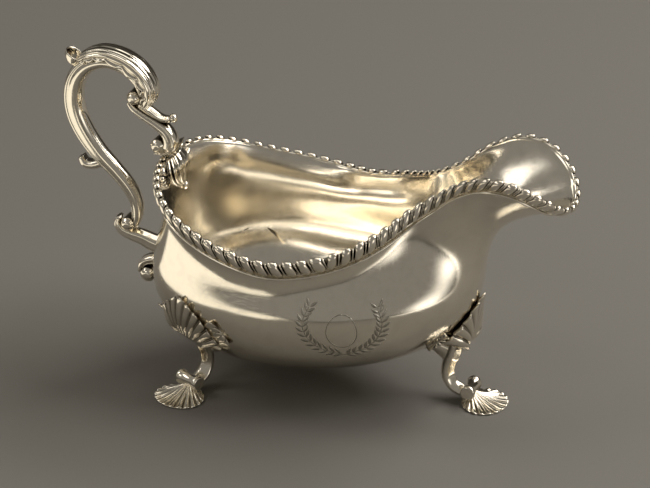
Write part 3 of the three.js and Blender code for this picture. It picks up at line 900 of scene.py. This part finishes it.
class SAUCEBOAT_OT_sprays(bpy.types.Operator):
    """Lays fine strokes that stand for engraved lines: two leafy sprays round an empty oval"""

    bl_idname = "sauceboat.sprays"
    bl_label = "Engraved sprays"

    def execute(self, context):
        wall = BVHTree.FromObject(bpy.data.objects["raised_bowl"], context.evaluated_depsgraph_get())

        def place(along, up, lift):
            start = Vector((DEVICE[0] + along, -150, DEVICE[1] + up)) * MM
            spot, normal, _, _ = wall.ray_cast(start, ACROSS)
            return spot + normal * (lift + 0.02) * MM

        bm = bmesh.new()
        ring = []
        for share in even_shares(48):
            turn = share * 2 * math.pi
            ring.append((OVAL[0] * math.sin(turn), OVAL[1] * math.cos(turn), *LINE))
        loft(bm, stroke_rings(ring, place, sides=6, steps=72))
        for side in (1, -1):
            stem = [(side * along, up, *LINE) for along, up in SPRAY]
            loft(bm, stroke_rings(stem, place, sides=6, steps=36))
            line = SmoothLine(stem)
            for part in even_shares(SPRAY_LEAVES - 1):
                share = between(0.16, 1, part)
                root = line.at(share)[:2]
                way = line.direction(share)
                for hand in (1, -1):
                    turn = math.radians(hand * 48)
                    across = way[0] * math.cos(turn) - way[1] * math.sin(turn)
                    up = way[0] * math.sin(turn) + way[1] * math.cos(turn)
                    length = 3.4 - 1.2 * abs(share - 0.5)
                    leaf = []
                    for part, wide in LEAF_SHAPE:
                        bend = 0.2 * part ** 2
                        u = root[0] + length * (across * part + way[0] * bend)
                        v = root[1] + length * (up * part + way[1] * bend)
                        leaf.append((u, v, wide, 0.1))
                    loft(bm, stroke_rings(leaf, place, sides=6, steps=6))
        finish_piece("engraved_sprays", bm, finishes()[ENGRAVED], levels=0)
        return {"FINISHED"}


# Legs: half profile of the knuckle's roll, stations of the web, and how far backs go into the wall, in mm
KNUCKLE_ROLL = [
    (0, 5.1), (1.1, 5.1), (1.7, 4.95), (2.1, 5.15), (2.7, 4.9), (2.95, 4.2), (2.8, 3.2), (2.4, 2.2), (2.3, 0),
]
WEB = [(-12.6, 18.6, 9.2, 5.4), (-17, 20.2, 6.6, 3.8), (-21, 20.9, 3, 2.4), (-23.6, 20.6, 0.8, 1.2)]
BITE = 0.3
SHANK_BITE = 0.4
# Shells: angles that they lean and open by, in degrees, and their lobes' lengths, depth and flutes, in mm
SHELL_LEAN = 9
SHELL_OPENING = (37, 58)
SHELL_HEIGHT = 25.5
SHELL_SIDES = {0: 13, 1: 21, -1: 12}
SHELL_SHIFT = 2.3
SHELL_TIP = 1.2
FAN_START = 0.02
FAN_ROWS = 16
FAN_DEPTH = 6
FAN_WAIST = 0.4
FAN_NOTCH = 0.1
FAN_FLUTE = 1.7
# Side leaves: reach in mm and last angle in degrees, on the side away from the spout and on the other
SIDE_LEAF_REACH = (18.5, 29)
SIDE_LEAF_FIRST_ANGLE = 45
SIDE_LEAF_LAST_ANGLE = (66, 70)
SIDE_LEAF_LOBES = 5
# From how far out the bowl's wall is looked for, and where it is taken to be if it isn't met, in mm
LOOK_FROM = 150
LOST_WALL_X = KNEE_ROOT_X - 13


class Leg:
    """A leg's own frame, with X outward from the foot's middle, and the bowl's wall as seen from it."""

    wall = None

    def __init__(self, name):
        x, y, turn, self.spout_side = LEGS[name]
        self.matrix = Matrix.Translation(Vector((x, y, 0)) * MM) @ Matrix.Rotation(math.radians(turn), 4, "Z")
        self.back = self.matrix.inverted()
        if Leg.wall is None:
            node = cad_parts["bowl"]
            Leg.wall = BVHTree.FromPolygons(
                [v.co.copy() for v in node.data.vertices], [p.vertices[:] for p in node.data.polygons]
            )

    def met(self, across, height):
        """The place and normal of the bowl's wall, at a place across the leg and up in mm."""
        way = self.matrix.to_3x3() @ Vector((-1, 0, 0))
        spot, normal, _, _ = Leg.wall.ray_cast(self.place(LOOK_FROM, across, height), way)
        if spot is None:
            return self.place(LOST_WALL_X, across, height), Vector((0, 0, -1))
        return spot, normal

    def reach(self, across, height):
        """How far out the bowl's wall lies at a place across the leg and up, in mm."""
        return (self.back @ self.met(across, height)[0]).x / MM

    def place(self, x, across, height):
        return self.matrix @ (Vector((x, across, height)) * MM)

    def tuck(self, verts):
        """Ends a piece, drawn in the leg's own frame, within the thickness of the bowl's wall."""
        for vertex in verts:
            start = self.matrix @ Vector((vertex.co.x, vertex.co.y, 0))
            spot = Leg.wall.ray_cast(start, Vector((0, 0, 1)))[0]
            if spot is not None:
                vertex.co.z = min(vertex.co.z, spot.z + SHANK_BITE * MM)

    def on_wall(self, across, height, proud):
        """A place that stands off the bowl's wall, along the wall's own normal there."""
        spot, normal = self.met(across, height)
        return spot + normal * proud * MM


def lobe_wave(place, lobes):
    """0 in the valleys between lobes and 1 on their crests, with round crests and sharp valleys."""
    part = (place * lobes) % 1
    return math.sin(math.pi * part) ** 0.55 if 0 < part < 1 else 0.0


def fan_rings(leg, angles, lobes, length, face, shift):
    """Rings of a fan of lobes that spreads from a knee's root between two angles from the upright."""
    low, high = angles
    columns = lobes * 8
    rings = []
    for row in even_shares(FAN_ROWS):
        out = between(FAN_START, 1, row)
        front = []
        back = []
        for part in even_shares(columns):
            valley = (1 - lobe_wave(part, lobes)) * out
            angle = math.radians(between(low, high, part))
            radius = KNEE_ROOT_RADIUS * (1 - out) + length(angle) * (1 - FAN_NOTCH * valley) * out
            across = radius * math.sin(angle) + shift * math.sin(out * math.pi / 2)
            height = KNEE_ROOT_HEIGHT + radius * math.cos(angle) - KNEE_ROOT_RADIUS * (1 - out)
            reach = face(across, height, out)
            inner = max(reach - FAN_DEPTH * between(FAN_WAIST, 1, out), leg.reach(across, height) - BITE)
            front.append(leg.place(reach - FAN_FLUTE * valley, across, height))
            back.append(leg.place(min(inner, reach - FAN_FLUTE * valley - 0.5), across, height))
        rings.append(front + back[::-1])
    return rings


class SAUCEBOAT_OT_shells(bpy.types.Operator):
    """Casts the lobed shell on each leg's knee"""

    bl_idname = "sauceboat.shells"
    bl_label = "Knee shells"

    def execute(self, context):
        sizes = context.scene.sauceboat_sizes
        relief = sizes.shell_relief / MM
        for name in LEGS:
            leg = Leg(name)
            spout = leg.spout_side
            lean = spout * SHELL_LEAN
            angles = (lean - SHELL_OPENING[spout <= 0], lean + SHELL_OPENING[spout >= 0])
            tip = leg.reach(0, KNEE_ROOT_HEIGHT + 21.6) + SHELL_TIP

            def length(angle):
                side = math.copysign(1, angle) * spout if angle else 0
                fall = abs(math.sin(angle - math.radians(lean))) ** 1.15
                return between(SHELL_HEIGHT, SHELL_SIDES[side], fall)

            def face(across, height, out):
                arch = 1 - (1 - out) ** 3
                free = between(KNEE_ROOT_X, tip, arch) - 0.014 * across ** 2
                resting = leg.reach(across, height) + relief * (1 - 0.25 * out ** 3)
                return max(between(free, resting, out ** 6), resting)

            bm = bmesh.new()
            loft(bm, fan_rings(leg, angles, sizes.shell_lobes, length, face, spout * SHELL_SHIFT))
            cast_piece(name + "_shell", bm, name + "_leg_knee")
        return {"FINISHED"}


class SAUCEBOAT_OT_leaves(bpy.types.Operator):
    """Casts the ruffled leaves that show beside each shell"""

    bl_idname = "sauceboat.leaves"
    bl_label = "Side leaves"

    def execute(self, context):
        for name in LEGS:
            leg = Leg(name)
            for side, word in ((-1, "right"), (1, "left")):
                near_spout = side == leg.spout_side
                last_angle = SIDE_LEAF_LAST_ANGLE[near_spout]
                bm = bmesh.new()
                rings = []
                for row in even_shares(8):
                    out = between(0.5, 1, row)
                    front = []
                    back = []
                    for part in even_shares(8 * SIDE_LEAF_LOBES):
                        crest = lobe_wave(part, SIDE_LEAF_LOBES)
                        angle = side * math.radians(between(SIDE_LEAF_FIRST_ANGLE, last_angle, part))
                        radius = SIDE_LEAF_REACH[near_spout] * out * (1 - 0.1 * (1 - crest))
                        across = radius * math.sin(angle)
                        height = KNEE_ROOT_HEIGHT + radius * math.cos(angle)
                        if leg.spout_side:
                            lift = between(0.3, 1.6, (2 * out - 1) ** 2) - 0.5 * (1 - crest) * out
                        else:
                            lift = between(1.1, 2.1, out) - 1.1 * (1 - crest) * out
                        front.append(leg.on_wall(across, height, lift))
                        back.append(leg.on_wall(across, height, -BITE))
                    rings.append(front + back[::-1])
                loft(bm, rings)
                cast_piece(f"{name}_leaf_{word}", bm, f"{name}_leg_leaf_{word}")
        return {"FINISHED"}


class SAUCEBOAT_OT_shanks(bpy.types.Operator):
    """Casts each leg's curved shank, with its ridge down the middle, and the rolled knuckle at its end"""

    bl_idname = "sauceboat.shanks"
    bl_label = "Shanks and knuckles"

    def execute(self, context):
        facets = [
            (1.2, 0.0), (1.02, 0.22), (0.62, 0.62), (0.25, 0.95), (-0.05, 1.0), (-0.5, 0.86), (-0.82, 0.5),
        ]
        keel = facets + [(-0.95, 0.0)] + [(out, -across) for out, across in reversed(facets[1:])]
        mirrored = [(radius, -offset) for radius, offset in reversed(KNUCKLE_ROLL[:-1])]
        for name in LEGS:
            leg = Leg(name)
            bm = bmesh.new()
            swept(bm, SHANK, lambda share: keel, 36)
            if not leg.spout_side:
                swept(bm, WEB, ridged_section(2, 0), 10)
            leg.tuck(bm.verts)
            bmesh.ops.transform(bm, matrix=leg.matrix, verts=bm.verts)
            cast_piece(name + "_shank", bm, name + "_leg_shank")
            bm = bmesh.new()
            turned(bm, KNUCKLE_X, KNUCKLE_HEIGHT, KNUCKLE_ROLL + mirrored, steps=24)
            bmesh.ops.transform(bm, matrix=leg.matrix, verts=bm.verts)
            cast_piece(name + "_knuckle", bm, name + "_leg_knuckle")
        return {"FINISHED"}


class SAUCEBOAT_OT_feet(bpy.types.Operator):
    """Casts the scallop foot under each leg"""

    bl_idname = "sauceboat.feet"
    bl_label = "Feet"

    def execute(self, context):
        flutes = context.scene.sauceboat_sizes.foot_flutes
        for name in LEGS:
            leg = Leg(name)
            rings = []
            rows = [(0.0, 0.97), (0.3, 1.0), (0.9, 1.0), (1.0, 0.97)]
            for step in range(1, 9):
                share = between(0.97, 0.1, step / 8)
                rows.append((0.9 + 4.2 * (1 - share) ** 1.7, share))
            for height, share in rows:
                ring = []
                for turn in even_turns(8 * flutes):
                    valley = 1 - abs(math.cos(flutes / 2 * turn)) ** 0.8
                    reach = share * (1 - 0.06 * valley * share ** 3)
                    x = between(KNUCKLE_X, 0, share) + FOOT_LENGTH * reach * math.cos(turn)
                    dip = 0.75 * valley * share if height > 0.5 else 0
                    ring.append(leg.place(x, FOOT_WIDTH * reach * math.sin(turn), max(height - dip, 0)))
                rings.append(ring)
            bm = bmesh.new()
            loft(bm, rings)
            cast_piece(name + "_foot", bm, name + "_leg_foot")
        return {"FINISHED"}


class SAUCEBOAT_OT_kept(bpy.types.Operator):
    """Gives the silver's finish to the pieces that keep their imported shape"""

    bl_idname = "sauceboat.kept"
    bl_label = "Kept pieces"

    def execute(self, context):
        for name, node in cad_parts.items():
            finish = finishes()[RAISED if name == "bowl" else CAST]
            if not node.material_slots:
                node.data.materials.append(finish)
            for holder in node.material_slots:
                holder.material = finish
        return {"FINISHED"}


# Lamps: name, place and aim in metres, size, glow and tint
LAMPS = [
    ("low_card_left", (-0.30, -0.10, 0.006), (-0.30, -0.0999, 0.4), (0.30, 0.26), 0.95, (1, 0.93, 0.78)),
    ("low_card_front", (-0.33, -0.515, 0.006), (-0.33, -0.5149, 0.4), (0.58, 0.57), 0.85, (1, 0.93, 0.78)),
    ("window_front", (-0.75, -1.15, 0.95), (0, 0, 0.06), (0.5, 0.5), 1.5, (1, 0.96, 0.88)),
    ("overhead", (0.1, 0.25, 1.3), (0, 0, 0.05), (0.9, 0.7), 1.3, (1, 0.95, 0.86)),
    ("window_left", (-0.9, -0.2, 0.9), (0, 0, 0.06), (0.35, 0.6), 2.5, (1, 0.95, 0.86)),
    ("window_back", (0.65, 0.7, 0.95), (0, 0, 0.06), (0.9, 0.45), 4.9, (1, 0.96, 0.9)),
    ("window_right", (0.95, 0.1, 0.85), (0, 0, 0.06), (0.45, 0.7), 4.6, (1, 0.97, 0.93)),
]
# Share of the floor's tone that the air gives to the light, and to the eye and its reflections
AIR_LIT = 0.45
AIR_SEEN = 0.86
# Camera: azimuth and elevation in degrees, target and distance in metres, and lens in mm
CAMERA_ANGLES = (18.8, 26.5)
CAMERA_TARGET = (0.003, 0, 0.0547)
CAMERA_DISTANCE = 1.25
CAMERA_LENS = 191.4
# Soft round cards low at the right front: middle, aim and radius in metres, and glow
SOFT_CARDS = [
    ("soft_card_low", (0.53, -0.32, 0.004), (0.53, -0.3199, 1), 0.3, 1.5),
    ("soft_card_tall", (0.86, -0.53, 0.1), (0, 0, 0.05), 0.34, 1.6),
]


class SAUCEBOAT_OT_stage(bpy.types.Operator):
    """Sets the plain floor and backdrop, the soft lamps and the camera"""

    bl_idname = "sauceboat.stage"
    bl_label = "Stage"

    def soft_card(self, name, middle, aim, radius, glow):
        """A round card whose glow fades out towards its edge."""
        facing = (Vector(aim) - Vector(middle)).to_track_quat("Z", "Y").to_matrix().to_4x4()
        bm = bmesh.new()
        bmesh.ops.create_circle(
            bm, cap_ends=True, radius=radius, segments=48, matrix=Matrix.Translation(middle) @ facing
        )
        card = new_object(name, bm)
        glowing = bpy.data.materials.new(name + "_glow")
        glowing.use_nodes = True
        tree = glowing.node_tree
        tree.nodes.remove(tree.nodes["Principled BSDF"])
        place = add_node(tree, "ShaderNodeTexCoord").outputs["Object"]
        moved = add_node(tree, "ShaderNodeMapping", vector=place, location=[-c for c in middle]).outputs[0]
        away = add_node(tree, "ShaderNodeVectorMath", {"operation": "LENGTH"}, _0=moved).outputs["Value"]
        fade = add_node(
            tree, "ShaderNodeMapRange", {"interpolation_type": "SMOOTHSTEP"}, _0=away, _1=radius, _2=0.0,
            _3=0.0, _4=glow,
        ).outputs[0]
        shine = add_node(tree, "ShaderNodeEmission", color=(1, 0.95, 0.87, 1), strength=fade).outputs[0]
        clear = add_node(tree, "ShaderNodeBsdfTransparent").outputs[0]
        both = add_node(tree, "ShaderNodeAddShader", _0=shine, _1=clear).outputs[0]
        tree.links.new(both, tree.nodes["Material Output"].inputs["Surface"])
        card.data.materials.append(glowing)
        card.visible_camera = False
        card.visible_shadow = False

    def execute(self, context):
        scene = context.scene
        studio = scene.sauceboat_studio
        bm = bmesh.new()
        bmesh.ops.create_grid(bm, x_segments=1, y_segments=1, size=2.4)
        far = [e for e in bm.edges if all(v.co.y > 2 for v in e.verts)]
        lifted = bmesh.ops.extrude_edge_only(bm, edges=far)["geom"]
        raised = [v for v in lifted if isinstance(v, bmesh.types.BMVert)]
        bmesh.ops.translate(bm, verts=raised, vec=(0, 0, 2.6))
        fold = [e for e in bm.edges if all(v.co.y > 2 and v.co.z < 0.1 for v in e.verts)]
        bmesh.ops.bevel(
            bm, geom=fold, offset=1.2, offset_type="OFFSET", segments=12, profile=0.5, affect="EDGES",
            material=-1,
        )
        floor = new_object("studio_floor", bm)
        floor.data.shade_smooth()
        paper = bpy.data.materials.new("studio_paper")
        paper.use_nodes = True
        tree = paper.node_tree
        shader = tree.nodes["Principled BSDF"]
        shader.inputs["Roughness"].default_value = 0.85
        place = add_node(tree, "ShaderNodeTexCoord").outputs["Object"]
        fibre = add_node(tree, "ShaderNodeTexNoise", vector=place, scale=900.0, detail=3.0).outputs["Fac"]
        tone = blended(tree, fibre, studio.floor, [c * 0.97 for c in studio.floor])
        tree.links.new(tone, shader.inputs["Base Color"])
        floor.data.materials.append(paper)
        for name, spot, aim, size, glow, tint in LAMPS:
            lamp = bpy.data.lights.new(name, "AREA")
            lamp.shape = "RECTANGLE"
            lamp.size, lamp.size_y = size
            lamp.energy = glow * studio.light * math.pi * size[0] * size[1]
            lamp.color = tint
            holder = bpy.data.objects.new(name, lamp)
            scene.collection.objects.link(holder)
            holder.location = spot
            holder.rotation_euler = (Vector(aim) - Vector(spot)).to_track_quat("-Z", "Y").to_euler()
            holder.visible_camera = False
        for card in SOFT_CARDS:
            self.soft_card(*card)
        world = scene.world or bpy.data.worlds.new("studio_air")
        scene.world = world
        world.use_nodes = True
        air = world.node_tree
        air.nodes["Background"].inputs["Strength"].default_value = 1.0
        path = add_node(air, "ShaderNodeLightPath").outputs
        seen = maths(air, "MAXIMUM", path["Is Camera Ray"], path["Is Glossy Ray"])
        shown = blended(air, seen, [c * AIR_LIT for c in studio.floor], [c * AIR_SEEN for c in studio.floor])
        air.links.new(shown, air.nodes["Background"].inputs["Color"])
        camera = bpy.data.objects.new("photo_camera", bpy.data.cameras.new("photo_camera"))
        scene.collection.objects.link(camera)
        camera.data.sensor_width = 36
        camera.data.lens = CAMERA_LENS
        camera.data.clip_end = 20
        azimuth, elevation = (math.radians(angle) for angle in CAMERA_ANGLES)
        flat = math.cos(elevation)
        back = Vector((math.sin(azimuth) * flat, -math.cos(azimuth) * flat, math.sin(elevation)))
        camera.location = Vector(CAMERA_TARGET) + back * CAMERA_DISTANCE
        camera.rotation_euler = (-back).to_track_quat("-Z", "Y").to_euler()
        scene.camera = camera
        scene.view_settings.view_transform = "Standard"
        return {"FINISHED"}


class SAUCEBOAT_PT_panel(bpy.types.Panel):
    """Lists the sauce boat's pieces, sizes and finishes"""

    bl_idname = "SAUCEBOAT_PT_panel"
    bl_label = "Sauce boat"
    bl_space_type = "VIEW_3D"
    bl_region_type = "UI"
    bl_category = "Sauce boat"

    def draw(self, context):
        scene = context.scene
        for group in (scene.sauceboat_sizes, scene.sauceboat_finish, scene.sauceboat_studio):
            box = self.layout.box()
            for name in group.__annotations__:
                box.prop(group, name)
        for operator in OPERATORS:
            self.layout.operator(operator.bl_idname)


OPERATORS = (
    SAUCEBOAT_OT_kept,
    SAUCEBOAT_OT_bowl,
    SAUCEBOAT_OT_border,
    SAUCEBOAT_OT_wire,
    SAUCEBOAT_OT_handle,
    SAUCEBOAT_OT_leaf,
    SAUCEBOAT_OT_collar,
    SAUCEBOAT_OT_clasp,
    SAUCEBOAT_OT_shells,
    SAUCEBOAT_OT_leaves,
    SAUCEBOAT_OT_shanks,
    SAUCEBOAT_OT_feet,
    SAUCEBOAT_OT_sprays,
    SAUCEBOAT_OT_stage,
)
GROUPS = {
    "sauceboat_sizes": SauceBoatSizes,
    "sauceboat_finish": SauceBoatFinish,
    "sauceboat_studio": SauceBoatStudio,
}


def register():
    for group in GROUPS.values():
        bpy.utils.register_class(group)
    for name, group in GROUPS.items():
        setattr(bpy.types.Scene, name, bpy.props.PointerProperty(type=group))
    for operator in OPERATORS:
        bpy.utils.register_class(operator)
    bpy.utils.register_class(SAUCEBOAT_PT_panel)


def unregister():
    bpy.utils.unregister_class(SAUCEBOAT_PT_panel)
    for operator in reversed(OPERATORS):
        bpy.utils.unregister_class(operator)
    for name in GROUPS:
        delattr(bpy.types.Scene, name)
    for group in reversed(GROUPS.values()):
        bpy.utils.unregister_class(group)


def main():
    """Registers the classes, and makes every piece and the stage."""
    register()
    for operator in OPERATORS:
        group, name = operator.bl_idname.split(".")
        getattr(getattr(bpy.ops, group), name)()
    bpy.context.view_layer.update()


if __name__ == "__main__":
    main()
